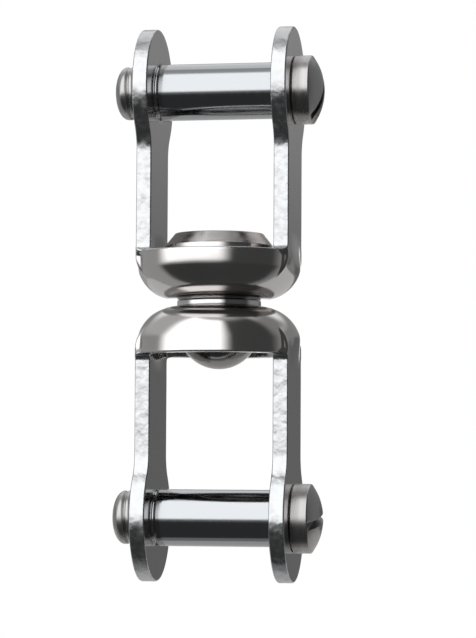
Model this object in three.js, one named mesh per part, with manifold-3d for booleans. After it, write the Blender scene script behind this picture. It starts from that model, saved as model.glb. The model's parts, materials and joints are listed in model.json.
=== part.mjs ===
// Jaw-and-jaw swivel: two pressed stainless forks, back to back, that turn on a riveted centre bolt with a
// ball thrust bearing. A slotted clevis pin closes each fork. Millimetres, +Z up along the swivel axis.
// The origin is the middle of the neck between the two forks. +X points at the pin heads.

import * as THREE from "three";
import { mergeVertices } from "three/addons/utils/BufferGeometryUtils.js";
import Module from "manifold-3d";

const wasm = await Module();
wasm.setup();

// ---- Driving dimensions ---------------------------------------------------------------------------------

// Forks
const pinAxisHeight = 37.5; // from the swivel's centre to each clevis pin's axis
const jawGap = 21.6; // between the inner faces of a fork's two ears
const plateThickness = 2.7;
const legWidth = 14.3;
const flatStart = 4.5; // the legs leave the bowl's curve at this height
const flatEnd = 12.5; // and are flat from here up
const legRootFillet = 1.2; // where a leg's edges meet the bowl's rim
const earWall = 6.2; // plate round the pin bore, from the pin's surface to the ear's edge
const earFillet = 6; // between a leg's straight edge and its round ear
const bowlSpread = 1.1; // how far the bowl's rim stands outside the legs' outer faces
const bowlFloorHeight = 0.6; // the bowl's outer floor above the swivel's centre
const rimHeight = 9;
const creaseHeight = 6.05; // where the rounded shoulder ends and the steep band begins
const creaseInset = 0.15; // how much narrower the bowl is at the crease than at the rim

// Clevis pins
const pinDiameter = 10;
const threadStep = 0.3; // how far the thread's crest lies below the shank's surface
const threadPitch = 1.5;
const threadDepth = 0.55;
const shoulderChamfer = 0.5;
const headOverhang = 1.05; // the head's rim beyond the shank
const headRimLength = 3;
const headDomeHeight = 2;
const tipRounding = 1.5;
const threadRelief = 0.01; // plain land before the first crest and after the last root
const slotWidth = 1.4;
const slotDepth = 1.9;
const upperSlotAngle = 62; // degrees that each slot is turned about its pin, from level
const lowerSlotAngle = 13;

// Swivel
const boltDiameter = 9;
const boltHeadCrown = 0.8; // how much larger the radius of the head's dome is than the head's own
const boltHeadDrop = 11.5; // the dome's lowest point below the swivel's centre
const peenHeight = 0.5; // the riveted end above the collar
const peenSpread = 1.2;
const neckInset = 0.7; // from the edge of the bowls' flat floors to the neck washer's rim
const neckEdge = 0.18; // chamfer on the neck washer's rim
const collarClearance = 2.4; // from the collar's rim to the bowl's inner wall
const collarHeight = 4.8;
const collarChamferHeight = 2.15;
const collarChamferWidth = 1.7;

// Thrust bearing
const ballCount = 16;
const ballSpacing = 0.15; // free gap between neighbouring balls
const raceWidth = 3;
const raceThickness = 1.4;
const grooveDepth = 0.6;
const grooveConformity = 0.1; // the groove's radius over the ball's

// Clearances
const runningClearance = 0.1; // radial, where one piece turns or slides in another
const seatGap = 0.05; // between faces that lie on each other
const raceBoltGap = 0.5; // from the bolt to the races' bores
const raceSideGap = 0.1; // from the races to where the bowl's floor turns up
const headSideGap = 0.2; // from the bolt's head to where the bowl's floor turns up

// Facets
const roundSteps = 40; // round a fork's bowl and each turned ring
const pinSteps = 24;
const arcSteps = 6; // along a rounded stretch of a profile
const outlineSteps = 12; // along each arc of the ear's outline, two facets a step
const legSteps = { across: 6, along: 7 };
const ballSteps = { around: 10, down: 6 };
const buriedFoot = 0.6; // a leg's foot runs this far down inside the bowl's wall
const burial = 0.04; // and lies this far under the wall's faces

// ---- Sizes that follow ----------------------------------------------------------------------------------

const pinRadius = pinDiameter / 2;
const threadRadius = pinRadius - threadStep;
const earRadius = pinRadius + earWall;
const innerFace = jawGap / 2;
const outerFace = innerFace + plateThickness;
const rimRadius = outerFace + bowlSpread;
const innerFloor = bowlFloorHeight + plateThickness;
const innerRimRadius = rimRadius - plateThickness;
const creaseRadius = rimRadius - creaseInset;
const boltRadius = boltDiameter / 2;
const neckBore = boltRadius + runningClearance;
const raceInner = boltRadius + raceBoltGap;
const raceOuter = raceInner + raceWidth;
const floorRadius = raceOuter + raceSideGap; // where the flat floor turns up into the shoulder
const boltHeadRadius = floorRadius - headSideGap;
const neckRadius = floorRadius - neckInset;
const trackRadius = (raceInner + raceOuter) / 2;
const ballRadius = trackRadius * Math.sin(Math.PI / ballCount) - ballSpacing / 2;
const lowerRaceBase = innerFloor + seatGap;
const ballHeight = lowerRaceBase + raceThickness - grooveDepth + ballRadius + seatGap;
const upperRaceBase = 2 * ballHeight - lowerRaceBase - raceThickness;
const collarBase = upperRaceBase + raceThickness + seatGap;
const collarRadius = innerRimRadius - collarClearance;
const collarTop = collarBase + collarHeight;
const headReach = outerFace + seatGap + headRimLength + headDomeHeight;

// ---- Materials ------------------------------------------------------------------------------------------

const steel = (name, color, roughness) =>
  new THREE.MeshStandardMaterial({ name, color, roughness, metalness: 1 });

const polishedPlate = steel("polished_plate", 0xb9b6b4, 0.12);
const turnedPin = steel("turned_pin", 0xb4b4b6, 0.3);
const turnedCollar = steel("turned_collar", 0xaaa6a4, 0.25);
const polishedBolt = steel("polished_bolt", 0xa5a09e, 0.15);
const polishedNeck = steel("polished_neck", 0xb0b0b0, 0.1);
const hardenedRace = steel("hardened_race", 0x9a9a9c, 0.2);
const bearingBall = steel("bearing_ball", 0xc4c4c8, 0.05);

// ---- Helpers --------------------------------------------------------------------------------------------

// A closed geometry as a manifold-3d solid.
function toSolid(geometry) {
  const bare = geometry.clone();
  for (const name of ["normal", "uv"]) bare.deleteAttribute(name);
  const merged = mergeVertices(bare, 1e-4);
  return new wasm.Manifold(
    new wasm.Mesh({
      numProp: 3,
      vertProperties: new Float32Array(merged.attributes.position.array),
      triVerts: new Uint32Array(merged.index.array),
    }),
  );
}

function toGeometry(solid) {
  const mesh = solid.getMesh();
  const geometry = new THREE.BufferGeometry();
  geometry.setAttribute("position", new THREE.BufferAttribute(mesh.vertProperties, 3));
  geometry.setIndex(new THREE.BufferAttribute(mesh.triVerts, 1));
  return geometry;
}

// Points along a quarter ellipse, from its first end to its last, as [radius, height] pairs.
function ellipseArc(centre, semiAxes, fromDegrees, toDegrees, steps = arcSteps) {
  return Array.from({ length: steps + 1 }, (_, i) => {
    const angle = THREE.MathUtils.degToRad(fromDegrees + ((toDegrees - fromDegrees) * i) / steps);
    return [centre[0] + semiAxes[0] * Math.cos(angle), centre[1] + semiAxes[1] * Math.sin(angle)];
  });
}

// A turned solid about +Z, from [radius, height] pairs.
function turned(profile, steps = roundSteps) {
  const points = profile.map(([radius, height]) => new THREE.Vector2(radius, height));
  return new THREE.LatheGeometry(points, steps).rotateX(Math.PI / 2);
}

function turnedRing(profile, steps = roundSteps) {
  return turned([...profile, profile[0]], steps);
}

function part(name, geometry, material) {
  const mesh = new THREE.Mesh(geometry, material);
  mesh.name = name;
  return mesh;
}

// ---- Fork -----------------------------------------------------------------------------------------------

// Radius of a quarter ellipse that starts flat at the floor's edge and stands upright at the rim's height.
function shoulderRadius(height, semiWidth, semiDepth) {
  const below = (rimHeight - height) / semiDepth;
  return floorRadius + semiWidth * Math.sqrt(Math.max(0, 1 - below ** 2));
}

// The bowl's outer radius: rounded shoulder up to the crease, then the steep straight band.
function outerRadius(height) {
  const depth = rimHeight - bowlFloorHeight;
  const widthAtCrease = Math.sqrt(1 - ((rimHeight - creaseHeight) / depth) ** 2);
  const semiWidth = (creaseRadius - floorRadius) / widthAtCrease;
  if (height <= creaseHeight) return shoulderRadius(height, semiWidth, depth);
  const up = (Math.min(height, rimHeight) - creaseHeight) / (rimHeight - creaseHeight);
  return THREE.MathUtils.lerp(creaseRadius, rimRadius, up);
}

function innerRadius(height) {
  return shoulderRadius(Math.min(height, rimHeight), innerRimRadius - floorRadius, rimHeight - innerFloor);
}

// Heights along a shoulder, closer together near its floor, where it curves the most.
function shoulderHeights(bottom, top) {
  return Array.from({ length: arcSteps + 1 }, (_, i) => {
    const turn = (i / arcSteps) * (Math.PI / 2);
    return bottom + (top - bottom) * (1 - Math.cos(turn));
  });
}

// The pressed bowl, with the bolt's bore through its flat floor.
function bowlSolid() {
  const outside = shoulderHeights(bowlFloorHeight, creaseHeight).map((z) => [outerRadius(z), z]);
  const inside = shoulderHeights(innerFloor, rimHeight).map((z) => [innerRadius(z), z]);
  return toSolid(
    turnedRing([
      [neckBore, bowlFloorHeight],
      ...outside,
      [rimRadius, rimHeight],
      ...inside.reverse(),
      [neckBore, innerFloor],
    ]),
  );
}

// Makes room in the bowl's wall for the two legs, a little narrower than they are.
function legRoomSolid() {
  const room = new THREE.BoxGeometry(3 * rimRadius, legWidth - 2 * burial, rimHeight);
  return toSolid(room.translate(0, 0, flatStart + rimHeight / 2));
}

// The lower stretch of the right leg: a box bent so that it starts as part of the bowl's wall and ends flat.
function legRootSolid() {
  const foot = flatStart - buriedFoot;
  const box = new THREE.BoxGeometry(1, 1, 1, 1, legSteps.across, legSteps.along);
  const position = box.attributes.position;
  for (let i = 0; i < position.count; i += 1) {
    const z = THREE.MathUtils.lerp(foot, flatEnd, position.getZ(i) + 0.5);
    const flare = THREE.MathUtils.clamp(legRootFillet - (z - rimHeight), 0, legRootFillet);
    const spread = z < rimHeight ? 0 : legRootFillet - Math.sqrt(legRootFillet ** 2 - flare ** 2);
    const y = position.getY(i) * (legWidth + 2 * spread);
    const outside = position.getX(i) > 0;
    const under = z < flatStart ? burial : 0;
    const radius = outside ? outerRadius(z) - under : innerRadius(z) + under;
    const curved = Math.sqrt(radius ** 2 - y ** 2);
    const flatness = THREE.MathUtils.smoothstep(z, flatStart, flatEnd);
    position.setXYZ(i, THREE.MathUtils.lerp(curved, outside ? outerFace : innerFace, flatness), y, z);
  }
  return toSolid(box);
}

// The outline of a leg's flat stretch with its ear, drawn in the plate's plane: across the leg, then up.
function earOutline(boreRadius) {
  const half = legWidth / 2;
  const reach = earRadius + earFillet;
  const drop = Math.sqrt(reach ** 2 - (half + earFillet) ** 2);
  const filletHeight = pinAxisHeight - drop;
  const meet = Math.atan2(drop, half + earFillet); // direction from a fillet's centre to the ear's centre
  const outline = new THREE.Shape();
  outline.moveTo(-half, flatEnd);
  outline.lineTo(half, flatEnd);
  outline.lineTo(half, filletHeight);
  outline.absarc(half + earFillet, filletHeight, earFillet, Math.PI, Math.PI - meet, true);
  outline.absarc(0, pinAxisHeight, earRadius, -meet, Math.PI + meet, false);
  outline.absarc(-half - earFillet, filletHeight, earFillet, meet, 0, true);
  outline.lineTo(-half, flatEnd);
  const bore = new THREE.Path();
  bore.absarc(0, pinAxisHeight, boreRadius, 0, 2 * Math.PI, true);
  outline.holes.push(bore);
  return outline;
}

// The flat plate of the right leg, with its inner face towards the jaw.
function earSolid(boreRadius) {
  const geometry = new THREE.ExtrudeGeometry(earOutline(boreRadius), {
    depth: plateThickness,
    bevelEnabled: false,
    curveSegments: outlineSteps,
  });
  geometry.applyMatrix4(
    new THREE.Matrix4().makeBasis(
      new THREE.Vector3(0, 1, 0),
      new THREE.Vector3(0, 0, 1),
      new THREE.Vector3(1, 0, 0),
    ),
  );
  geometry.translate(innerFace, 0, 0);
  return toSolid(geometry);
}

function forkGeometry() {
  const plainLeg = legRootSolid().add(earSolid(pinRadius + runningClearance));
  const tappedLeg = legRootSolid().add(earSolid(threadRadius + runningClearance)).rotate([0, 0, 180]);
  return toGeometry(bowlSolid().subtract(legRoomSolid()).add(plainLeg).add(tappedLeg));
}

// ---- Clevis pin -----------------------------------------------------------------------------------------

// Crests and roots of the thread, as rings, from the tip to the shank's shoulder.
function threadProfile(from, to) {
  const turns = Math.floor((to - from) / threadPitch);
  const start = to - turns * threadPitch;
  return Array.from({ length: turns }, (_, i) => start + i * threadPitch).flatMap((height) => [
    [threadRadius, height],
    [threadRadius - threadDepth, height + threadPitch / 2],
  ]);
}

// One pin along +X, with its slot turned about its own axis.
function pinGeometry(slotAngle) {
  const tip = -headReach;
  const shoulder = -innerFace + 2 * seatGap;
  const headBase = outerFace + seatGap;
  const headRadius = pinRadius + headOverhang;
  const domeBase = headBase + headRimLength;
  const tipArc = ellipseArc(
    [threadRadius - tipRounding, tip + tipRounding],
    [tipRounding, tipRounding],
    -90,
    0,
    arcSteps / 2,
  );
  const dome = ellipseArc([0, domeBase], [headRadius, headDomeHeight], 0, 90).slice(0, -1);
  const body = turned(
    [
      [0, tip],
      ...tipArc,
      ...threadProfile(tip + tipRounding + threadRelief, shoulder),
      [threadRadius, shoulder - threadRelief],
      [pinRadius - shoulderChamfer, shoulder],
      [pinRadius, shoulder + shoulderChamfer],
      [pinRadius, headBase],
      [headRadius, headBase],
      ...dome,
      [0, headReach],
    ],
    pinSteps,
  ).rotateY(Math.PI / 2);
  const slot = new THREE.BoxGeometry(2 * slotDepth, 3 * headRadius, slotWidth)
    .translate(headReach, 0, 0)
    .rotateX(THREE.MathUtils.degToRad(slotAngle));
  return toGeometry(toSolid(body).subtract(toSolid(slot)));
}

// ---- Swivel ---------------------------------------------------------------------------------------------

// The centre bolt: domed head inside the lower bowl, shank through both forks, and a riveted upper end.
function boltGeometry() {
  const headTop = -innerFloor - seatGap;
  const sphere = boltHeadRadius + boltHeadCrown;
  const edgeTurn = -THREE.MathUtils.radToDeg(Math.acos(boltHeadRadius / sphere));
  const dome = ellipseArc([0, sphere - boltHeadDrop], [sphere, sphere], -90, edgeTurn);
  const peenBase = collarTop - peenSpread;
  return turned([
    [0, -boltHeadDrop],
    ...dome.slice(1),
    [boltHeadRadius, headTop],
    [boltRadius, headTop],
    [boltRadius, peenBase],
    [boltRadius + peenSpread, collarTop],
    [boltRadius + peenSpread - peenHeight, collarTop + peenHeight / 2],
    [boltRadius / 2, collarTop + peenHeight],
    [0, collarTop + peenHeight],
  ]);
}

// The collar that the bolt's end is riveted over, with a chamfered rim and a countersink for the riveting.
function collarGeometry() {
  const bore = boltRadius + runningClearance;
  const countersink = peenSpread + runningClearance;
  return turnedRing([
    [bore, collarBase],
    [collarRadius, collarBase],
    [collarRadius, collarTop - collarChamferHeight],
    [collarRadius - collarChamferWidth, collarTop],
    [bore + countersink, collarTop],
    [bore, collarTop - countersink],
  ]);
}

function neckWasherGeometry() {
  const half = bowlFloorHeight - seatGap;
  return turnedRing([
    [neckBore, -half],
    [neckRadius - neckEdge, -half],
    [neckRadius, -half + neckEdge],
    [neckRadius, half - neckEdge],
    [neckRadius - neckEdge, half],
    [neckBore, half],
  ]);
}

// A race lying on its back at height 0, with its ball groove facing up.
function raceGeometry() {
  const grooveRadius = ballRadius + grooveConformity;
  const centre = raceThickness - grooveDepth + grooveRadius;
  const turn = THREE.MathUtils.radToDeg(Math.asin((centre - raceThickness) / grooveRadius));
  const groove = ellipseArc([trackRadius, centre], [grooveRadius, grooveRadius], -turn, turn - 180);
  return turnedRing([
    [raceInner, 0],
    [raceOuter, 0],
    [raceOuter, raceThickness],
    ...groove,
    [raceInner, raceThickness],
  ]);
}

function ballGeometry() {
  return new THREE.SphereGeometry(ballRadius, ballSteps.around, ballSteps.down);
}

// ---- Assembly -------------------------------------------------------------------------------------------

const swivel = new THREE.Group();

const upperFork = part("upper_fork", forkGeometry(), polishedPlate);
const lowerFork = part("lower_fork", forkGeometry(), polishedPlate);
lowerFork.rotation.x = Math.PI;
swivel.add(upperFork, lowerFork);

const upperPin = part("upper_clevis_pin", pinGeometry(upperSlotAngle), turnedPin);
upperPin.position.z = pinAxisHeight;
const lowerPin = part("lower_clevis_pin", pinGeometry(lowerSlotAngle), turnedPin);
lowerPin.position.z = -pinAxisHeight;
swivel.add(upperPin, lowerPin);

swivel.add(part("swivel_bolt", boltGeometry(), polishedBolt));
swivel.add(part("bearing_collar", collarGeometry(), turnedCollar));
swivel.add(part("neck_washer", neckWasherGeometry(), polishedNeck));

const lowerRace = part("lower_race", raceGeometry(), hardenedRace);
lowerRace.position.z = lowerRaceBase;
const upperRace = part("upper_race", raceGeometry(), hardenedRace);
upperRace.rotation.x = Math.PI;
upperRace.position.z = upperRaceBase + raceThickness;
swivel.add(lowerRace, upperRace);

for (let i = 0; i < ballCount; i += 1) {
  const angle = (2 * Math.PI * i) / ballCount;
  const ball = part("ball_" + String(i + 1).padStart(2, "0"), ballGeometry(), bearingBall);
  ball.position.set(trackRadius * Math.cos(angle), trackRadius * Math.sin(angle), ballHeight);
  swivel.add(ball);
}

export default swivel;
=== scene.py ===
# %% [markdown]
# # Jaw-and-jaw swivel
# A sailor's rigging swivel: two forks pressed from stainless plate stand back to back and turn on a riveted
# centre bolt, and a slotted clevis pin closes each fork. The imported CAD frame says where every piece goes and
# how it moves. Each CAD solid is faceted, so this file makes a fine mesh for every piece, in the same place.

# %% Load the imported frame
import json
import math

import bmesh
import bpy
import numpy as np
from mathutils import Matrix, Vector, noise


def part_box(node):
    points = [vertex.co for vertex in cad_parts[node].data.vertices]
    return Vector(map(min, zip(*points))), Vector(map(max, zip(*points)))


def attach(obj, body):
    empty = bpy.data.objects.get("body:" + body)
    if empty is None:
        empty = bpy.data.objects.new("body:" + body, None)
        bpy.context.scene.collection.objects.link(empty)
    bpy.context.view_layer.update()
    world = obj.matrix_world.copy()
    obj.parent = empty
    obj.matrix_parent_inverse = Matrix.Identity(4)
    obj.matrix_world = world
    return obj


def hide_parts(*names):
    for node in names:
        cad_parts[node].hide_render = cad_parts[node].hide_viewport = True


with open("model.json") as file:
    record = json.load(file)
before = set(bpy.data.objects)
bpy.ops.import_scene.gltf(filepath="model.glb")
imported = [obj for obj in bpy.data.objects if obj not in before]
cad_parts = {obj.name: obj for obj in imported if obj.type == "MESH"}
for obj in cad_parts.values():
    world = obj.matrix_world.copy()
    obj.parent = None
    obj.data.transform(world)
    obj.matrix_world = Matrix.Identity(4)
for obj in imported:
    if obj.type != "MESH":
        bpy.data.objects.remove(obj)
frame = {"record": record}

bpy.context.view_layer.update()

# %% [markdown]
# ## Units and the frame's sizes
# Blender works in metres, and a part this small is easier to read in millimetres. So every size below is in
# millimetres, and one function turns finished points into metres. What the frame can tell, such as radii and
# heights, is measured from its boxes. Only what a box can't tell, such as a plate's thickness, is typed in.

# %% Measure the frame
MM = 0.001


def box_mm(node):
    low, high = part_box(node)
    return low / MM, high / MM


fork_low, fork_high = box_mm("upper_fork")
pin_low, pin_high = box_mm("upper_clevis_pin")
bolt_low, bolt_high = box_mm("swivel_bolt")
collar_low, collar_high = box_mm("bearing_collar")
neck_low, neck_high = box_mm("neck_washer")
race_low, race_high = box_mm("lower_race")
ball_low, ball_high = box_mm("ball_01")

PIN_AXIS = (pin_low.z + pin_high.z) / 2
EAR_RADIUS = fork_high.z - PIN_AXIS
print(f"pin axis {PIN_AXIS:.2f} mm up, ear radius {EAR_RADIUS:.2f} mm, bowl rim radius {fork_high.y:.2f} mm")

# %% [markdown]
# ## The camera
# The viewpoint is a little to the right of the pins' axis and a little below the swivel's middle, with a long
# lens, which keeps the two jaws nearly the same size. The camera is set by the angles round the object and a
# distance in millimetres, because those stay easy to change. It aims a little beside the middle, which frames
# the object, and rolls a third of a degree, as a hand-held camera does.

# %% Place the camera
VIEW_AZIMUTH = math.radians(10.4)
VIEW_ELEVATION = math.radians(-3.3)
VIEW_ROLL = math.radians(0.3)
VIEW_DISTANCE = 454
AIM_RIGHT, AIM_UP = 3.33, -2.63
LENS, SENSOR = 145.8, 36
NEAREST, FARTHEST = 0.01, 20

towards_viewer = Vector((
    math.sin(VIEW_AZIMUTH) * math.cos(VIEW_ELEVATION),
    -math.cos(VIEW_AZIMUTH) * math.cos(VIEW_ELEVATION),
    math.sin(VIEW_ELEVATION),
))
level_view = (-towards_viewer).to_track_quat("-Z", "Y")
aim = level_view @ Vector((AIM_RIGHT, AIM_UP, 0))

camera = bpy.data.objects.new("camera", bpy.data.cameras.new("camera"))
camera.data.lens = LENS
camera.data.sensor_width = SENSOR
camera.data.clip_start, camera.data.clip_end = NEAREST, FARTHEST
camera.rotation_mode = "QUATERNION"
camera.rotation_quaternion = level_view @ Matrix.Rotation(VIEW_ROLL, 3, "Z").to_quaternion()
camera.location = (aim + towards_viewer * VIEW_DISTANCE) * MM
bpy.context.scene.collection.objects.link(camera)
bpy.context.scene.camera = camera
bpy.context.scene.view_settings.view_transform = "Standard"
print("camera at", [round(value, 4) for value in camera.location])

# %% [markdown]
# ## Colours and nodes
# A hex colour is written for a screen, and a renderer adds up light, so each colour goes through one function
# that turns it to linear light. One more function adds any shader node with its settings and its links, which
# keeps every material below to a few lines.


# %% Turn hex colours to linear light, and add a node
def linear(hex_colour):
    shades = [int(hex_colour[i:i + 2], 16) / 255 for i in (1, 3, 5)]
    light = [s / 12.92 if s <= 0.04045 else ((s + 0.055) / 1.055) ** 2.4 for s in shades]
    return (*light, 1)


def add_node(tree, kind, inputs=None, **settings):
    node = tree.nodes.new(kind)
    for name, value in settings.items():
        setattr(node, name, value)
    for name, value in (inputs or {}).items():
        if isinstance(value, bpy.types.NodeSocket):
            tree.links.new(value, node.inputs[name])
        else:
            node.inputs[name].default_value = value
    return node


# %% [markdown]
# ## The studio
# Polished steel has hardly any colour of its own: it shows the room. A product studio is a light tent. Here
# a large softbox stands at the front left, with a black card on the right, a black floor in front and grey
# walls further round. These make the bright and dark bands that let the eye read a shiny round shape. The
# tent could be real planes with lights, but a world shader that looks up the direction gives the same
# reflections with no noise. Each card is a patch of directions: degrees round from the viewer's side, to the
# right, and degrees up. Its edges are soft, and it covers the cards above it in the list. A card right
# behind the object comes in two halves, one for each way round. The camera itself sees a plain white
# backdrop.

# %% Hang the cards round the object
CARDS = [
    # left, right, side softness, low, high, height softness, brightness
    ("overhead sheet", -190, 190, 8, 60, 100, 20, 0.66),
    ("high wall on the left", -145, -88, 20, 14, 95, 20, 0.6),
    ("high wall behind", 135, 190, 20, 30, 95, 14, 1.2),
    ("high wall behind's other half", -190, -140, 20, 30, 95, 14, 1.2),
    ("low wall behind", 138, 190, 10, -10, 6, 8, 0.15),
    ("grey wall on the left", -165, -80, 20, -70, 8, 12, 0.42),
    ("black card on the right", 4, 88, 20, -100, 72, 20, 0.07),
    ("black floor in front", -92, 92, 14, -95, -12, 12, 0.055),
    ("big softbox on the left", -84, 8, 26, -4, 70, 9, 2.3),
    ("bright backdrop", 170, 190, 8, -10, 16, 8, 1.4),
    ("bright backdrop's other half", -190, -170, 8, -10, 16, 8, 1.4),
]
TENT_BRIGHTNESS = 0.30

world = bpy.data.worlds.new("light_tent")
world.use_nodes = True
bpy.context.scene.world = world
tree = world.node_tree
tree.nodes.clear()
direction = add_node(tree, "ShaderNodeTexCoord").outputs["Generated"]
turned = add_node(tree, "ShaderNodeVectorRotate", {"Vector": direction, "Angle": -VIEW_AZIMUTH},
                  rotation_type="Z_AXIS")
parts = add_node(tree, "ShaderNodeSeparateXYZ", {"Vector": turned.outputs["Vector"]})
nearer = add_node(tree, "ShaderNodeMath", {0: parts.outputs["Y"], 1: -1.0}, operation="MULTIPLY")
turn = add_node(tree, "ShaderNodeMath", {0: parts.outputs["X"], 1: nearer.outputs[0]}, operation="ARCTAN2")
rise = add_node(tree, "ShaderNodeMath", {0: parts.outputs["Z"]}, operation="ARCSINE")


def coverage(angle, low, high, soft):
    """1 where an angle lies from low to high degrees, and 0 outside, with soft edges."""
    edges = []
    for edge, sign in ((low, 1), (high, -1)):
        start, end = (math.radians(edge + sign * offset) for offset in (-soft / 2, soft / 2))
        edges.append(add_node(tree, "ShaderNodeMapRange", {
            "Value": angle, "From Min": start, "From Max": end}, interpolation_type="SMOOTHSTEP"))
    return add_node(tree, "ShaderNodeMath", {0: edges[0].outputs[0], 1: edges[1].outputs[0]},
                    operation="MULTIPLY").outputs[0]


light = add_node(tree, "ShaderNodeValue").outputs[0]
light.default_value = TENT_BRIGHTNESS
for name, left, right, side_soft, low, high, height_soft, brightness in CARDS:
    across = coverage(turn.outputs[0], left, right, side_soft)
    upward = coverage(rise.outputs[0], low, high, height_soft)
    covered = add_node(tree, "ShaderNodeMath", {0: across, 1: upward}, operation="MULTIPLY", label=name)
    mixed = add_node(tree, "ShaderNodeMix", {"Factor": covered.outputs[0], "A": light, "B": brightness})
    light = mixed.outputs["Result"]
tent = add_node(tree, "ShaderNodeBackground", {"Color": linear("#fdfeff"), "Strength": light})
backdrop = add_node(tree, "ShaderNodeBackground", {"Color": linear("#ffffff"), "Strength": 1.0})
seen = add_node(tree, "ShaderNodeLightPath").outputs["Is Camera Ray"]
shown = add_node(tree, "ShaderNodeMixShader", {0: seen, 1: tent.outputs[0], 2: backdrop.outputs[0]})
add_node(tree, "ShaderNodeOutputWorld", {"Surface": shown.outputs[0]})
print(len(CARDS), "cards in the tent")

# %% [markdown]
# ## The floor
# The swivel hangs, so the floor lies well below it. It is a plain pale disc that starts just behind the
# object: a floor that came further forward would mirror itself in the dark undersides.

# %% Lay the floor
FLOOR_HEIGHT, FLOOR_RADIUS, FLOOR_BACK = -120, 330, 350

# Matt wall paint, rolled on. Its fine bumpy skin spreads light evenly, so the floor shows no reflection.
paint = bpy.data.materials.new("matt_white_paint")
paint.use_nodes = True
surface = paint.node_tree.nodes["Principled BSDF"]
surface.inputs["Base Color"].default_value = linear("#d8d7d5")
surface.inputs["Roughness"].default_value = 0.8

floor_mesh = bmesh.new()
bmesh.ops.create_circle(floor_mesh, cap_ends=True, segments=96, radius=FLOOR_RADIUS * MM)
floor = bpy.data.objects.new("floor", bpy.data.meshes.new("floor"))
floor_mesh.to_mesh(floor.data)
floor_mesh.free()
floor.location = Vector((0, FLOOR_BACK, FLOOR_HEIGHT)) * MM
floor.data.materials.append(paint)
bpy.context.scene.collection.objects.link(floor)
print("floor", FLOOR_RADIUS * 2, "mm across")

# %% [markdown]
# ## Making a mesh from rows of points
# Nearly every piece here is a sheet or a turned shape, so its surface is a grid: rows of points with faces
# between them. Grids that share an edge are laid down one by one, and then points that lie on each other are
# merged. That gives closed solids of clean four-sided faces, which bend a reflection smoothly.


# %% Lay down grids and finish a piece
def lay_grid(mesh, rows, closed=False, finish=0):
    """Faces between rows of points. Each row joins its own end if closed."""
    made = [[mesh.verts.new(Vector(point) * MM) for point in row] for row in rows]
    across = len(made[0]) if closed else len(made[0]) - 1
    for near, far in zip(made, made[1:]):
        for i in range(across):
            k = (i + 1) % len(near)
            mesh.faces.new((near[i], near[k], far[k], far[i])).material_index = finish


def finish_piece(name, mesh, finishes, weld=0.002):
    """Welds the grids into one closed mesh with smooth shading and makes an object of it."""
    bmesh.ops.remove_doubles(mesh, verts=mesh.verts, dist=weld * MM)
    bmesh.ops.dissolve_degenerate(mesh, edges=mesh.edges, dist=weld * MM / 4)
    bmesh.ops.recalc_face_normals(mesh, faces=mesh.faces)
    loose = sum(not edge.is_manifold for edge in mesh.edges)
    for face in mesh.faces:
        face.smooth = True
    piece = bpy.data.objects.new(name, bpy.data.meshes.new(name))
    mesh.to_mesh(piece.data)
    mesh.free()
    for finish in finishes:
        piece.data.materials.append(finish)
    bpy.context.scene.collection.objects.link(piece)
    normals = piece.modifiers.new("flat faces stay flat", "WEIGHTED_NORMAL")
    normals.weight = 90
    print(f"{name}: {len(piece.data.polygons)} faces, {loose} open edges")
    return piece


def stand_for(piece, node):
    """The piece takes over a CAD node: it rides on the node's body, and the node is hidden."""
    record = frame["record"]
    bodies = record["behaviour"]["bodies"]
    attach(piece, next(body for body, members in bodies.items() if node in members))
    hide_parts(node)


# %% [markdown]
# ## The pressed plate's shape
# A fork starts as a flat blank that is pressed into a bowl with two legs. Its outside and its inside are two
# surfaces 2.7 mm apart. Each is a rounded shoulder that rises from a flat floor, and the outside has a soft
# crease below its rim. Each leg leaves the bowl's round wall a little above the floor and turns into flat
# plate. Near the leg's edges, where the wall curves in behind the flat plate, it gets there sooner than in
# the middle. One function gives either surface at a distance across the leg and a height, so both sides
# follow the same formula. All heights are the upper fork's, measured from the middle of the swivel.

# %% Set the fork's sizes
PLATE = 2.7
JAW_GAP = 21.6
LEG_HALF = 14.3 / 2
RIM = 9
# The crease's height, how far it stands in from the rim, and how softly it turns.
CREASE, CREASE_INSET, CREASE_SOFTNESS = 6.05, 0.15, 0.07
# Where a leg starts to turn flat, where its edges are flat, and where its middle is.
FLAT_START, EDGE_FLAT_END, FLAT_END = 4, 8, 12.5
# Rows of points follow the round shoulder below this height, and stand at even heights above it.
WALL_START = 4.5
ROOT_FILLET, EAR_FILLET = 1.2, 6
RACE_CLEARANCE = 0.1
FLOOR_EDGE = race_high.x + RACE_CLEARANCE
BOLT_BORE = 4.6
PLAIN_BORE, TAPPED_BORE = 5.1, 4.8
EDGE_BREAK = 0.28
BORE_BREAK = 0.15

OUTSIDE = {"floor": fork_low.z, "rim": fork_high.y, "flat": JAW_GAP / 2 + PLATE}
INSIDE = {"floor": fork_low.z + PLATE, "rim": fork_high.y - PLATE, "flat": JAW_GAP / 2}


def smoothstep(value, start, end):
    share = np.clip((value - start) / (end - start), 0, 1)
    return share * share * (3 - 2 * share)


def bowl_radius(side, height):
    """The bowl's radius at a height: a quarter ellipse, and outside a steep band above the crease."""
    deep = RIM - side["floor"]

    def ellipse(at):
        return np.sqrt(np.maximum(0, 1 - ((RIM - np.minimum(at, RIM)) / deep) ** 2))

    if side is INSIDE:
        return FLOOR_EDGE + (side["rim"] - FLOOR_EDGE) * ellipse(height)
    crease_radius = side["rim"] - CREASE_INSET
    shoulder = FLOOR_EDGE + (crease_radius - FLOOR_EDGE) * ellipse(height) / ellipse(CREASE)
    band = crease_radius + CREASE_INSET * np.clip((height - CREASE) / (RIM - CREASE), -1, 1)
    return (shoulder + band) / 2 - np.sqrt(((shoulder - band) / 2) ** 2 + CREASE_SOFTNESS ** 2)


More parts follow.
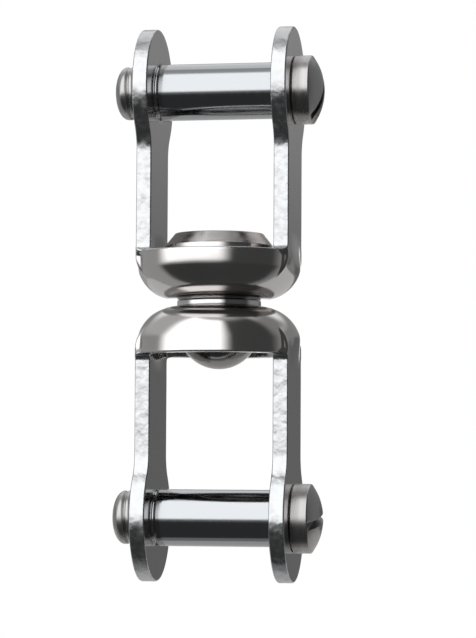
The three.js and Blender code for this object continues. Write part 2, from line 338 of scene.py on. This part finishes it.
def leg_depth(side, y, height):
    """How far the leg's surface lies from the swivel's axis plane."""
    curved = np.sqrt(np.maximum(bowl_radius(side, height) ** 2 - y ** 2, 0))
    end = np.where(curved < side["flat"], EDGE_FLAT_END, FLAT_END)
    return curved + (side["flat"] - curved) * smoothstep(height, FLAT_START, end)


print(f"outer radius at the crease {float(bowl_radius(OUTSIDE, CREASE)):.2f} mm")

# %% [markdown]
# ## The bowl with its two leg roots
# The bowl is one closed ring of columns. Across each leg the columns stand at fixed distances from the leg's
# middle, round the rest of the bowl they are spread by angle, and in between they crowd together where a
# small fillet joins the leg's edge to the rim. Just outside the leg's edge, the flat leg steps back to the
# round wall, and the step widens to the fillet's own width towards the rim. The cut edge is rounded later, so
# the surface stops short of the true outline by the edge break.

# %% Make the bowl's rows
STEP_START, STEP_WIDTH, WIDENS_FROM = LEG_HALF - 0.05, 0.36, 8
FLOOR_RING, CREASE_RING = 0.3, 0.08
LEG_COLUMNS, FILLET_COLUMNS, BAND_COLUMNS = 9, 13, 20
SHOULDER_ROWS, WALL_ROWS, BAND_ROWS = 19, 6, 10
fillet_reach = ROOT_FILLET + EDGE_BREAK
fillet_y = LEG_HALF + ROOT_FILLET
fillet_top = RIM + ROOT_FILLET
leg_columns = np.linspace(0, LEG_HALF - EDGE_BREAK, LEG_COLUMNS)[:-1]
fillet_turns = np.radians(np.linspace(90, 0, FILLET_COLUMNS))
fillet_columns = fillet_y - fillet_reach * np.sin(fillet_turns)
quarter_y = np.concatenate([leg_columns, fillet_columns])
quarter_top = np.concatenate([
    np.full(len(leg_columns), fillet_top),
    fillet_top - fillet_reach * np.cos(fillet_turns),
])


def ring_row(side, heights):
    """One row of points right round the bowl, from the height of each column of a quarter."""
    radius = bowl_radius(side, heights)
    spread_radius = bowl_radius(side, np.maximum(heights, FLAT_START))
    known = len(quarter_y)
    angles = np.arcsin(quarter_y / spread_radius[:known])
    share = np.linspace(0, 1, BAND_COLUMNS + 1)[1:]
    angles = np.concatenate([angles, angles[-1] + (math.pi / 2 - angles[-1]) * share])
    y = radius * np.sin(angles)
    x = radius * np.cos(angles)
    step = STEP_WIDTH + (ROOT_FILLET - STEP_WIDTH) * smoothstep(heights, WIDENS_FROM, RIM)
    proud = 1 - smoothstep(y, STEP_START, STEP_START + step)
    proud[known:] = 0
    x = np.where(heights > FLAT_START, x + (leg_depth(side, y, heights) - x) * proud, x)
    quarter = np.stack([x, y, heights], axis=1)
    back = quarter[::-1][1:] * (-1, 1, 1)
    half = np.concatenate([quarter, back])
    return np.concatenate([half, half[::-1][1:-1] * (1, -1, 1)])


def bowl_rows(side):
    """All rows of one side, from the bolt's bore to the rim."""
    count = len(quarter_y) + BAND_COLUMNS
    tops = np.concatenate([quarter_top, np.full(BAND_COLUMNS, RIM - EDGE_BREAK)])
    edge_row = ring_row(side, np.full(count, side["floor"]))
    around = np.arctan2(edge_row[:, 1], edge_row[:, 0])
    floor_rows = [np.stack([radius * np.cos(around), radius * np.sin(around),
                            np.full(len(around), side["floor"])], axis=1)
                  for radius in (BOLT_BORE, (BOLT_BORE + FLOOR_EDGE) / 2, FLOOR_EDGE - FLOOR_RING)]
    deep = RIM - side["floor"]
    turns = np.linspace(0, math.acos((RIM - WALL_START) / deep), SHOULDER_ROWS)
    shoulder_rows = [ring_row(side, np.full(count, RIM - deep * math.cos(turn))) for turn in turns]
    wall = [ring_row(side, np.full(count, height))
            for height in (*np.linspace(WALL_START, CREASE - CREASE_RING, WALL_ROWS)[1:], CREASE)]
    band = [ring_row(side, CREASE + (tops - CREASE) * share)
            for share in (0.025, *np.linspace(1 / BAND_ROWS, 1, BAND_ROWS))]
    return np.array(floor_rows + shoulder_rows + wall + band)


outer_bowl, inner_bowl = bowl_rows(OUTSIDE), bowl_rows(INSIDE)
print("bowl grid:", outer_bowl.shape[:2], "rows and columns a side")

# %% [markdown]
# ## The legs and ears
# Above the root, each leg is a strip that is flat from a little way up, and it ends in a round ear with a
# bore. The ear's outline is two concave fillets and most of a circle. Rings of points between the bore and
# that outline fill the ear. The right ear has a plain bore for the pin's shank, and the left one is tapped.

# %% Make the legs' rows and the ears' rings
ear_edge = EAR_RADIUS - EDGE_BREAK
drop = math.sqrt((EAR_RADIUS + EAR_FILLET) ** 2 - (LEG_HALF + EAR_FILLET) ** 2)
neck_height = PIN_AXIS - drop
meet = math.atan2(drop, LEG_HALF + EAR_FILLET)
leg_side = LEG_HALF - EDGE_BREAK
leg_y = np.concatenate([[-leg_side], -leg_columns[::-1], leg_columns[1:], [leg_side]])
BENT_ROWS, FLAT_ROWS = 7, 10
leg_heights = np.concatenate([
    np.linspace(fillet_top, FLAT_END, BENT_ROWS)[:-1],
    np.linspace(FLAT_END, neck_height, FLAT_ROWS),
])


def arc(centre, radius, start, end, steps):
    angles = np.linspace(start, end, steps + 1)
    return np.stack([centre[0] + radius * np.cos(angles), centre[1] + radius * np.sin(angles)], axis=1)


def ear_outline():
    """From the right-hand neck, over the ear's top, to the left-hand neck, as distances across and up."""
    inset_fillet = EAR_FILLET + EDGE_BREAK
    right = arc((LEG_HALF + EAR_FILLET, neck_height), inset_fillet, math.pi, math.pi - meet, 10)
    top = arc((0, PIN_AXIS), ear_edge, -meet, math.pi + meet, 72)
    left = arc((-LEG_HALF - EAR_FILLET, neck_height), inset_fillet, meet, 0, 10)
    return np.concatenate([right, top[1:], left[1:]])


def leg_rows(side, sign):
    return np.array([[(sign * leg_depth(side, y, z), y, z) for y in leg_y] for z in leg_heights])


def ear_rings(side, sign, bore):
    """Closed rings from the bore's edge out to the ear's outline and the leg's top."""
    foot = np.stack([leg_y[1:-1], np.full(len(leg_y) - 2, neck_height)], axis=1)
    outer_ring = np.concatenate([ear_outline(), foot])
    around = np.arctan2(outer_ring[:, 1] - PIN_AXIS, outer_ring[:, 0])
    bore_edge = bore + BORE_BREAK
    inner_ring = np.stack([bore_edge * np.cos(around), PIN_AXIS + bore_edge * np.sin(around)], axis=1)
    rings = [inner_ring + (outer_ring - inner_ring) * share for share in (0, 0.1, 0.4, 0.7, 1)]
    return [np.stack([np.full(len(ring), sign * side["flat"]), ring[:, 0], ring[:, 1]], axis=1)
            for ring in rings]


print(f"legs run up to {neck_height:.2f} mm, where the ears' fillets start")

# %% [markdown]
# ## The cut edge
# Round the whole fork runs one closed ribbon of cut edge, up one leg, over the ear, down again, along the
# bowl's rim and round the other leg. A real blank is sheared and then tumbled, which leaves a flat cut face
# with its corners rubbed round. A bevel modifier could do it, but here the ribbon's points are laid one by one:
# at each point along it, one direction goes through the plate and one goes out of it, and the corner arcs
# follow.


# %% Lay the ribbon of cut edge
def lay_cut_edge(mesh, outer, inner, rounding, outward, finish=1, arc_steps=4):
    """A rounded edge round a closed loop of matching points on the plate's two faces."""
    through = outer - inner
    along = np.roll(outer + inner, -1, axis=0) - np.roll(outer + inner, 1, axis=0)
    along /= np.linalg.norm(along, axis=1)[:, None]
    through -= (through * along).sum(axis=1)[:, None] * along
    through /= np.linalg.norm(through, axis=1)[:, None]
    out = np.cross(along, through) * outward
    turns = np.linspace(0, math.pi / 2, arc_steps + 1)
    steps = [(math.sin(turn) * out, (1 - math.cos(turn)) * through) for turn in turns]
    rows = [outer + rounding * (outwards - inwards) for outwards, inwards in steps]
    rows += [inner + rounding * (outwards + inwards) for outwards, inwards in steps[::-1]]
    lay_grid(mesh, rows, closed=True, finish=finish)


def fork_edge(side, rows):
    """The loop of points where one side's surface meets the cut edge."""
    top = rows[-1]
    columns = len(top)
    leg = len(leg_columns)
    ear = ear_outline()
    loop = []
    for sign, start in ((1, columns - leg), (-1, columns // 2 - leg)):
        edge_rise = [(sign * leg_depth(side, leg_y[-1], z), leg_y[-1], z) for z in leg_heights[1:-1]]
        over = [(sign * side["flat"], y, z) for y, z in ear]
        edge_fall = [(x, -y, z) for x, y, z in edge_rise[::-1]]
        piece = (edge_rise + over + edge_fall)[::sign]
        between_legs = range(start, start - (columns // 2 - 2 * leg) - 1, -1)
        loop += piece + [tuple(top[i % columns]) for i in between_legs]
    return np.array(loop)


def fork_mesh():
    mesh = bmesh.new()
    for side, rows in ((OUTSIDE, outer_bowl), (INSIDE, inner_bowl)):
        lay_grid(mesh, rows, closed=True)
        for sign, bore in ((1, PLAIN_BORE), (-1, TAPPED_BORE)):
            lay_grid(mesh, leg_rows(side, sign))
            lay_grid(mesh, ear_rings(side, sign, bore), closed=True)
    lay_grid(mesh, [outer_bowl[0], inner_bowl[0]], closed=True)
    lay_cut_edge(mesh, fork_edge(OUTSIDE, outer_bowl), fork_edge(INSIDE, inner_bowl), EDGE_BREAK, 1)
    for sign, bore in ((1, PLAIN_BORE), (-1, TAPPED_BORE)):
        rings = [np.array(ear_rings(side, sign, bore)[0]) for side in (OUTSIDE, INSIDE)]
        lay_cut_edge(mesh, *rings, BORE_BREAK, 1, arc_steps=2)
    return mesh


print(len(fork_edge(OUTSIDE, outer_bowl)), "points along the cut edge")

# %% [markdown]
# ## Turned pieces
# Everything else was turned on a lathe. A turned piece is a short list of corners, as radius and height, each
# with the small radius that a tool or a polishing wheel leaves on it, and that list is spun about an axis.
# Without those small radii a metal edge catches no light and looks like paper.

# %% Turn a list of corners
TURNED_STEPS = 96


def round_corners(corners, arc_steps=4):
    """An outline from (radius, height, rounding) corners, with an arc in place of each rounded corner."""
    points = []
    for i, (radius, height, rounding) in enumerate(corners):
        here = Vector((radius, height))
        before, after = corners[i - 1], corners[(i + 1) % len(corners)]
        if rounding == 0:
            points.append(here)
            continue
        back = (Vector(before[:2]) - here).normalized()
        ahead = (Vector(after[:2]) - here).normalized()
        half = back.angle(ahead) / 2
        centre = here + (back + ahead).normalized() * rounding / math.sin(half)
        first = here + back * rounding / math.tan(half) - centre
        last = here + ahead * rounding / math.tan(half) - centre
        sweep = first.angle_signed(last)
        points += [centre + Matrix.Rotation(-sweep * k / arc_steps, 2) @ first for k in range(arc_steps + 1)]
    return [tuple(point) for point in points]


def spin(outline, steps=TURNED_STEPS):
    """Closed rings about +Z, one for each point of the outline."""
    turns = [2 * math.pi * i / steps for i in range(steps)]
    return [[(r * math.cos(turn), r * math.sin(turn), z) for turn in turns] for r, z in outline]


def turned_piece(name, outline, finishes, ring=False, shift=0, flip=False):
    """A turned solid, or a ring where the outline closes on itself."""
    mesh = bmesh.new()
    rows = spin([(r, shift + (-z if flip else z)) for r, z in outline])
    lay_grid(mesh, rows + rows[:1] if ring else rows, closed=True)
    return finish_piece(name, mesh, finishes)


def ellipse(centre, semi, start, end, steps):
    turns = np.radians(np.linspace(start, end, steps + 1))
    return [(centre[0] + semi[0] * math.cos(t), centre[1] + semi[1] * math.sin(t)) for t in turns]


stub = round_corners([(0, 0, 0), (5, 0, 0.3), (5, 4, 0.3), (0, 4, 0)])
print(len(stub), "points in a rounded stub's outline")

# %% [markdown]
# ## The clevis pins
# Each pin is one turned piece: a plain shank across the jaw, a screwed end in the left ear, and a domed head
# with a screwdriver slot. The thread is a real helix. A screw modifier could sweep one, but a thread is also
# just a rod whose radius goes up and down along it, later and later as it turns, and that way it fades out
# cleanly into the rounded tip and the shank. The slot is cut with a boolean, as a milling cutter would, and
# its walls and floor get a finish of their own. Each slot stands where its screw stopped, so the pins differ.

# %% Set the pin's sizes
SHANK_RADIUS = 5
THREAD_RADIUS, THREAD_PITCH, THREAD_DEPTH, THREAD_FADE = 4.7, 1.25, 0.5, 0.8
# How much of the pitch a groove takes, and how much of it is the groove's root.
GROOVE_SHARE, ROOT_SHARE = 0.675, 0.175
SHOULDER, SHOULDER_CHAMFER = -JAW_GAP / 2 + 0.1, 0.5
# The rounded tip's quarter ellipse, and the flat in its middle.
TIP_RADIAL, TIP_AXIAL, TIP_FLAT = 4.0, 2.0, 0.35
HEAD_RADIUS = pin_high.y
HEAD_BASE = JAW_GAP / 2 + PLATE + 0.05
DOME_BASE = HEAD_BASE + 3
SLOT_WIDTH, SLOT_DEPTH, SLOT_WEAR = 1.4, 1.9, 0.12
SLOT_TURNS = {"upper": 62, "lower": 13}
SHARP_EDGE = math.radians(25)
SLOT_FINISH = 3


def thread_rows(start, end, steps=TURNED_STEPS):
    """Rings along a screwed stretch. The crests are flat and the roots round, and both ends fade out."""
    rows = []
    turns = np.linspace(0, 2 * math.pi, steps, endpoint=False)
    for along in np.arange(start, end, THREAD_PITCH / 16):
        phase = (along / THREAD_PITCH - turns / (2 * math.pi)) % 1
        groove = np.clip((GROOVE_SHARE / 2 - abs(phase - 0.5)) * 2 / (GROOVE_SHARE - ROOT_SHARE), 0, 1)
        rounded = np.sin(groove * math.pi / 2) ** 1.5
        fade = min(1, (along - start) / THREAD_FADE, (end - along) / THREAD_FADE)
        radius = THREAD_RADIUS - THREAD_DEPTH * rounded * max(0, fade)
        rows.append([(r * math.cos(t), r * math.sin(t), along) for r, t in zip(radius, turns)])
    return rows


def pin_mesh():
    """The pin along +Z, with its head up. Finish 0 is the shank, 1 the head and 2 the screwed end."""
    mesh = bmesh.new()
    tip = pin_low.x
    tip_centre = (THREAD_RADIUS - TIP_RADIAL, tip + TIP_AXIAL)
    nose = [(0, tip), (TIP_FLAT, tip)] + ellipse(tip_centre, (TIP_RADIAL, TIP_AXIAL), -90, 0, 12)
    screwed = spin(nose) + thread_rows(tip + TIP_AXIAL + 0.05, SHOULDER - 0.15)
    inset = SHANK_RADIUS - SHOULDER_CHAMFER
    shank = spin([(THREAD_RADIUS, SHOULDER - 0.12), (inset, SHOULDER)]
                 + round_corners([(inset, SHOULDER, 0), (SHANK_RADIUS, SHOULDER + SHOULDER_CHAMFER, 0.2),
                                  (SHANK_RADIUS, HEAD_BASE, 0)])[1:])
    rise = pin_high.x - DOME_BASE
    sphere = (HEAD_RADIUS ** 2 + rise ** 2) / (2 * rise)
    edge_turn = math.degrees(math.acos(HEAD_RADIUS / sphere))
    dome = ellipse((0, pin_high.x - sphere), (sphere, sphere), edge_turn, 90, 18)
    head = spin([(SHANK_RADIUS, HEAD_BASE)]
                + round_corners([(SHANK_RADIUS, HEAD_BASE, 0), (HEAD_RADIUS, HEAD_BASE, 0.25),
                                 (*dome[0], 0.35), (*dome[4], 0)])[1:-1] + dome[4:])
    lay_grid(mesh, screwed + shank[:1], closed=True, finish=2)
    lay_grid(mesh, shank + head[:1], closed=True, finish=0)
    lay_grid(mesh, head, closed=True, finish=1)
    return mesh


def cut_slot(piece, angle):
    """Mills the screwdriver slot across the head, rounds its edges and gives it its finish."""
    cutter_mesh = bmesh.new()
    bmesh.ops.create_cube(cutter_mesh, size=MM)
    bmesh.ops.scale(cutter_mesh, vec=(3 * HEAD_RADIUS, SLOT_WIDTH, 2 * SLOT_DEPTH), verts=cutter_mesh.verts)
    cutter = bpy.data.objects.new("milling_cutter", bpy.data.meshes.new("milling_cutter"))
    cutter_mesh.to_mesh(cutter.data)
    cutter_mesh.free()
    cutter.rotation_euler.z = math.radians(angle - 90)
    cutter.location.z = pin_high.x * MM
    bpy.context.scene.collection.objects.link(cutter)
    slot = piece.modifiers.new("slot", "BOOLEAN")
    slot.object, slot.operation, slot.solver = cutter, "DIFFERENCE", "EXACT"
    bpy.context.view_layer.update()
    cut = bpy.data.meshes.new_from_object(piece.evaluated_get(bpy.context.evaluated_depsgraph_get()))
    piece.modifiers.remove(slot)
    piece.data = cut
    bpy.data.objects.remove(cutter)
    edited = bmesh.new()
    edited.from_mesh(cut)
    floor_height = (pin_high.x - SLOT_DEPTH) * MM
    weight = edited.edges.layers.float.new("bevel_weight_edge")
    above_floor = floor_height + 0.05 * MM
    for edge in edited.edges:
        sharp = edge.is_manifold and edge.calc_face_angle(0) > SHARP_EDGE
        if sharp and min(vert.co.z for vert in edge.verts) > above_floor:
            edge[weight] = 1
    across = Matrix.Rotation(math.radians(angle - 90), 3, "Z") @ Vector((0, 1, 0))
    touch = 0.01 * MM
    # The slot's faces take the darker finish, which paints shade into the slot.
    for face in edited.faces:
        middle = face.calc_center_median()
        if middle.z > floor_height - touch and abs(middle.dot(across)) < SLOT_WIDTH / 2 * MM + touch:
            face.material_index = SLOT_FINISH
    edited.to_mesh(cut)
    edited.free()
    for face in cut.polygons:
        face.use_smooth = True
    worn = piece.modifiers.new("worn slot edges", "BEVEL")
    worn.limit_method, worn.width, worn.segments = "WEIGHT", SLOT_WEAR * MM, 2
    piece.modifiers.move(len(piece.modifiers) - 1, 0)


def clevis_pin(which, height, finishes):
    piece = finish_piece(f"{which}_pin_turned", pin_mesh(), finishes)
    cut_slot(piece, SLOT_TURNS[which])
    lie_down = Matrix.Rotation(math.pi / 2, 4, "Y")
    piece.data.transform(Matrix.Translation((0, 0, height * MM)) @ lie_down)
    stand_for(piece, f"{which}_clevis_pin")


print(f"pin: {pin_high.x - pin_low.x:.1f} mm long, slot {SLOT_WIDTH} mm wide")

# %% [markdown]
# ## The swivel's inside
# The centre bolt has a head in the lower bowl, part of a sphere that runs out into a cone, and a shank
# through both floors. Its upper end is riveted over the collar, which presses the upper race on the balls.
# The riveted end was hammered, so its mesh gets small dents. The races are rings with a round groove that
# the balls run in. All of these are outlines spun on one axis, which is simpler than cutting solids.

# %% Set the swivel's sizes
BOLT_RADIUS = 4.5
HEAD_SIDE = bolt_high.y - 0.2
DOME_SPHERE, DOME_END, CONE_RISE = 7.2, -35, 2.2
PEEN_SPREAD, PEEN_HEIGHT = 1.2, bolt_high.z - collar_high.z
DENT_SIZE, DENT_DEPTH = 1.3, 0.35
BALL_RADIUS = (ball_high.z - ball_low.z) / 2
GROOVE_RADIUS, GROOVE_DEPTH = BALL_RADIUS + 0.1, 0.6
RACE_BORE = 5.0
TRACK_RADIUS = (race_high.x + RACE_BORE) / 2


def bolt_piece(finishes):
    head_top = -INSIDE["floor"] - 0.05
    dome = ellipse((0, DOME_SPHERE + bolt_low.z), (DOME_SPHERE, DOME_SPHERE), -90, DOME_END, 20)
    spread = BOLT_RADIUS + PEEN_SPREAD
    rest = round_corners([
        (*dome[-1], 0), (HEAD_SIDE, dome[-1][1] + CONE_RISE, 0.5), (HEAD_SIDE, head_top, 0.2),
        (BOLT_RADIUS, head_top, 0), (BOLT_RADIUS, collar_high.z - PEEN_SPREAD, 0),
        (spread, collar_high.z, 0.15), (spread - PEEN_HEIGHT, collar_high.z + PEEN_HEIGHT / 2, 0.15),
        (BOLT_RADIUS / 2, bolt_high.z, 1), (0, bolt_high.z, 0), (0, bolt_low.z, 0),
    ])
    crown = [(BOLT_RADIUS / 2 * share, bolt_high.z) for share in (0.8, 0.6, 0.4, 0.2, 0)]
    piece = turned_piece("swivel_bolt_turned", dome[:-1] + rest[:-2] + crown, finishes)
    for vert in piece.data.vertices:
        above = vert.co.z / MM - collar_high.z
        if above > 0.05:
            dent = noise.noise(vert.co / (DENT_SIZE * MM)) * 0.5 + 0.5
            vert.co.z -= dent * min(above, DENT_DEPTH) * MM
    return piece


def race_outline():
    outer, thick = race_high.x, race_high.z - race_low.z
    centre = thick - GROOVE_DEPTH + GROOVE_RADIUS
    turn = math.degrees(math.asin((centre - thick) / GROOVE_RADIUS))
    groove = ellipse((TRACK_RADIUS, centre), (GROOVE_RADIUS, GROOVE_RADIUS), -turn, turn - 180, 16)
    square = [(RACE_BORE, thick), (RACE_BORE, 0), (outer, 0), (outer, thick)]
    return round_corners([(*corner, 0.12) for corner in square]) + groove


COLLAR_CHAMFER = (1.7, 2.15)


def collar_outline():
    bore, top, rim = BOLT_RADIUS + 0.1, collar_high.z, collar_high.x
    sunk = PEEN_SPREAD + 0.1
    return round_corners([
        (bore, collar_low.z, 0.1), (rim, collar_low.z, 0.2), (rim, top - COLLAR_CHAMFER[1], 0.18),
        (rim - COLLAR_CHAMFER[0], top, 0.25), (bore + sunk, top, 0.08), (bore, top - sunk, 0),
    ])


def neck_outline():
    return round_corners([
        (BOLT_BORE, neck_low.z, 0.1), (neck_high.x, neck_low.z, 0.2),
        (neck_high.x, neck_high.z, 0.2), (BOLT_BORE, neck_high.z, 0.1),
    ])


print(f"balls {2 * BALL_RADIUS:.2f} mm in diameter, groove radius {GROOVE_RADIUS:.2f} mm")

# %% [markdown]
# ## The metals
# All of it is stainless steel, and what differs is how each surface was left. Pressed plate was polished
# before pressing and shows soft, clear reflections. Its sheared edges were tumbled bright and keep a mottled
# skin. Turned faces keep fine lines round the piece. An image of each finish could be wrapped on, but noise
# in the piece's own space has no seams and keeps its real size. So each finish is the same metal with its
# own colour cast, its own patches of roughness and its own fine relief.

# %% Mix a stainless finish
EVEN = (1, 1, 1)
LINE_STRETCH = 0.02
LINES_ROUND_X = (1, LINE_STRETCH, LINE_STRETCH)
LINES_ROUND_Z = (LINE_STRETCH, LINE_STRETCH, 1)
PATCH_LOW, PATCH_HIGH = 0.3, 0.7


def stainless(name, hex_colour, roughness, patch, reliefs):
    """A finish whose patch is (size in mm, detail, stretch), and each relief has its depth in mm as well."""
    made = bpy.data.materials.new(name)
    made.use_nodes = True
    tree = made.node_tree
    shader = tree.nodes["Principled BSDF"]
    shader.inputs["Metallic"].default_value = 1
    shader.inputs["Base Color"].default_value = linear(hex_colour)
    place = add_node(tree, "ShaderNodeTexCoord").outputs["Object"]
    normal = None
    for size, detail, stretch, depth in ((*patch, None), *reliefs):
        stretched = add_node(tree, "ShaderNodeMapping", {"Vector": place, "Scale": stretch})
        spots = add_node(tree, "ShaderNodeTexNoise", {
            "Vector": stretched.outputs["Vector"], "Scale": 1 / (size * MM), "Detail": detail}).outputs["Fac"]
        if depth is None:
            patches = add_node(tree, "ShaderNodeMapRange", {
                "Value": spots, "From Min": PATCH_LOW, "From Max": PATCH_HIGH,
                "To Min": roughness[0], "To Max": roughness[1]})
            tree.links.new(patches.outputs["Result"], shader.inputs["Roughness"])
            continue
        inputs = {"Height": spots, "Distance": depth * MM, "Strength": 1.0}
        if normal:
            inputs["Normal"] = normal
        normal = add_node(tree, "ShaderNodeBump", inputs).outputs["Normal"]
    tree.links.new(normal, shader.inputs["Normal"])
    return made


def turned_finish(name, hex_colour, roughness, line, depth, lines_round):
    """Fine tool lines round a piece, over a faint even grain that polishing leaves."""
    return stainless(name, hex_colour, roughness, (3 * line, 2, lines_round), [
        (line, 2, lines_round, depth),
        (0.4, 3, EVEN, 0.0015),
    ])


print("lines are drawn", 1 / LINE_STRETCH, "times as long as they are wide")

# %% [markdown]
# ### The finishes of this swivel
# Each finish could be a copy of one polished steel, but then the pieces would melt into each other. What
# tells them apart on the bench is how clear the reflection is and which way the fine lines run. Real tool
# lines are about 0.05 mm apart, too fine to show here, so all lines below are drawn 0.2 to 0.5 mm apart.

# %% Mix the finishes
# Rolled sheet, belt-polished before pressing. Pressing leaves slow waves under the polish, so reflections are
# soft and clear and bend a little.
PLATE_METAL = stainless("polished_pressed_plate", "#c7c4c2", (0.10, 0.17), (5, 2, EVEN), [
    (6, 1, EVEN, 0.03),
    (0.5, 3, EVEN, 0.0006),
])
# The plate's edge, sheared and then tumbled with stones. It stays lumpy under the shine, so it sparkles in
# patches. The lumps are drawn wider than the real torn grain, which is near 0.3 mm.
EDGE_METAL = stainless("tumbled_sheared_edge", "#b2b3b4", (0.16, 0.36), (1.2, 4, EVEN), [
    (2.2, 2, EVEN, 0.14),
    (0.6, 2, EVEN, 0.006),
])
# The pin's shank, turned and then ground to size, so it mirrors its surroundings in clean long bands.
SHANK_METAL = turned_finish("turned_pin_shank", "#a2a4a6", (0.08, 0.14), 0.3, 0.004, LINES_ROUND_X)
# The pin's head, left as the lathe tool cut it. Its rougher lines blur the highlight into a soft patch.
HEAD_METAL = turned_finish("turned_pin_head", "#a3a1a0", (0.22, 0.36), 0.3, 0.003, LINES_ROUND_X)
# The slot's walls and floor, milled and never polished. Their darker colour is painted shade, so the slot reads
# as dark.
SLOT_SHADED_METAL = turned_finish("milled_slot_painted_shade", "#6f6d6c", (0.3, 0.45), 0.3, 0.002, LINES_ROUND_X)
# The screwed end, rolled between dies, which burnishes it. It is duller than the shank.
THREAD_METAL = turned_finish("rolled_thread", "#a09f9e", (0.2, 0.34), 0.3, 0.002, LINES_ROUND_X)
# The bearing collar, turned bright. Its lines draw the highlight out round the chamfer.
COLLAR_METAL = turned_finish("turned_collar", "#c0bcba", (0.14, 0.3), 0.3, 0.004, LINES_ROUND_Z)
# The centre bolt, turned from a darker bar and then buffed, so its dome shows a small dim image of the room.
BOLT_METAL = turned_finish("turned_bolt", "#8f8d8c", (0.12, 0.2), 0.3, 0.001, LINES_ROUND_Z)
# The washer between the bowls, polished on its rim. It is the brightest line of the object.
NECK_METAL = turned_finish("polished_neck_washer", "#c9c8c8", (0.05, 0.1), 0.5, 0.0006, LINES_ROUND_Z)
# The bearing's races, ground round. They are out of sight but for a glimpse past the collar.
RACE_METAL = turned_finish("ground_race", "#b4b4b6", (0.12, 0.2), 0.2, 0.001, LINES_ROUND_Z)
# The bearing's balls, lapped to a mirror.
BALL_METAL = turned_finish("lapped_ball", "#d2d2d6", (0.03, 0.05), 0.5, 0.0002, LINES_ROUND_Z)
print(len(bpy.data.materials), "materials")

# %% [markdown]
# ## Putting the pieces in place
# Each fine piece stands for one CAD node: it rides on that node's body and hides the plain solid. The lower
# fork is the upper one turned half round, as on the real swivel.

# %% Make every piece
for which, turn in (("upper", 0), ("lower", math.pi)):
    fork = finish_piece(f"{which}_fork_pressed", fork_mesh(), [PLATE_METAL, EDGE_METAL])
    fork.data.transform(Matrix.Rotation(turn, 4, "X"))
    stand_for(fork, f"{which}_fork")
for which, height in (("upper", PIN_AXIS), ("lower", -PIN_AXIS)):
    clevis_pin(which, height, [SHANK_METAL, HEAD_METAL, THREAD_METAL, SLOT_SHADED_METAL])

stand_for(bolt_piece([BOLT_METAL]), "swivel_bolt")
collar = turned_piece("bearing_collar_turned", collar_outline(), [COLLAR_METAL], ring=True)
stand_for(collar, "bearing_collar")
stand_for(turned_piece("neck_washer_turned", neck_outline(), [NECK_METAL], ring=True), "neck_washer")
lower = turned_piece("lower_race_ground", race_outline(), [RACE_METAL], ring=True, shift=race_low.z)
stand_for(lower, "lower_race")
upper = turned_piece("upper_race_ground", race_outline(), [RACE_METAL], ring=True,
                     shift=box_mm("upper_race")[1].z, flip=True)
stand_for(upper, "upper_race")

BALL_COUNT = 16
FINE_WELD = 0.0001
ball_mesh = bmesh.new()
bmesh.ops.create_uvsphere(ball_mesh, u_segments=32, v_segments=20, radius=BALL_RADIUS * MM)
first_ball = finish_piece("ball_01_lapped", ball_mesh, [BALL_METAL], weld=FINE_WELD)
for number in range(1, BALL_COUNT + 1):
    node = f"ball_{number:02d}"
    ball = first_ball if number == 1 else bpy.data.objects.new(f"{node}_lapped", first_ball.data)
    if number > 1:
        bpy.context.scene.collection.objects.link(ball)
    low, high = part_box(node)
    ball.location = (low + high) / 2
    stand_for(ball, node)

# %% [markdown]
# ## The last update
# The scene is updated once more. The fine pieces must stay inside the CAD model's box.

# %% Update the scene
bpy.context.view_layer.update()
